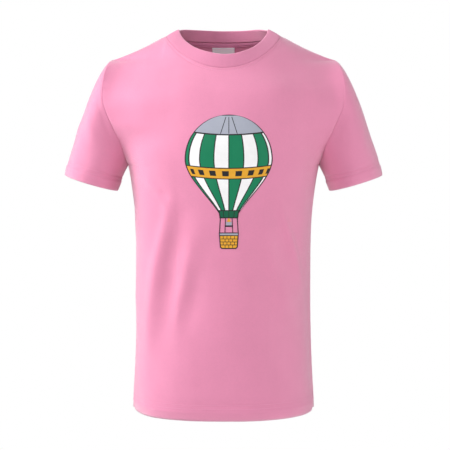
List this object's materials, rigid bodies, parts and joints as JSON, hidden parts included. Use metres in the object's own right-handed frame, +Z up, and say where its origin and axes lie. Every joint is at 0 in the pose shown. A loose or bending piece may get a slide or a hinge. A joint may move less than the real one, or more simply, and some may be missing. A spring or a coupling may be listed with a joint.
{
  "type": "t-shirt",
  "caption": "Child's short-sleeved crew-neck T-shirt in its worn shape, open at hem, neck and cuffs, with a hot-air balloon printed on the chest.",
  "frame": {"origin": "midway between the two neck points, where the shoulder seams meet the neckband: the level at which the shirt hangs on its wearer's shoulders", "axes": "+Z up, +X towards the wearer's left, front of the shirt towards -Y"},
  "size_m": [0.446, 0.1916, 0.5339],
  "materials": {
    "jersey": "pink cotton jersey, matt",
    "rib": "pink one-by-one rib knit, matt",
    "tape": "pink herringbone tape",
    "label": "plain woven label",
    "print": "transfer print in green, white, black and amber"
  },
  "bodies": {
    "root": {"front_panel": "jersey", "back_panel": "jersey", "left_sleeve": "jersey", "right_sleeve": "jersey", "neck_rib": "rib", "neck_tape": "tape", "left_shoulder_tape": "tape", "right_shoulder_tape": "tape", "neck_label": "label", "bottom_hem": "jersey", "left_sleeve_hem": "jersey", "right_sleeve_hem": "jersey", "care_label": "label", "chest_print": "print"}
  },
  "joints": []
}
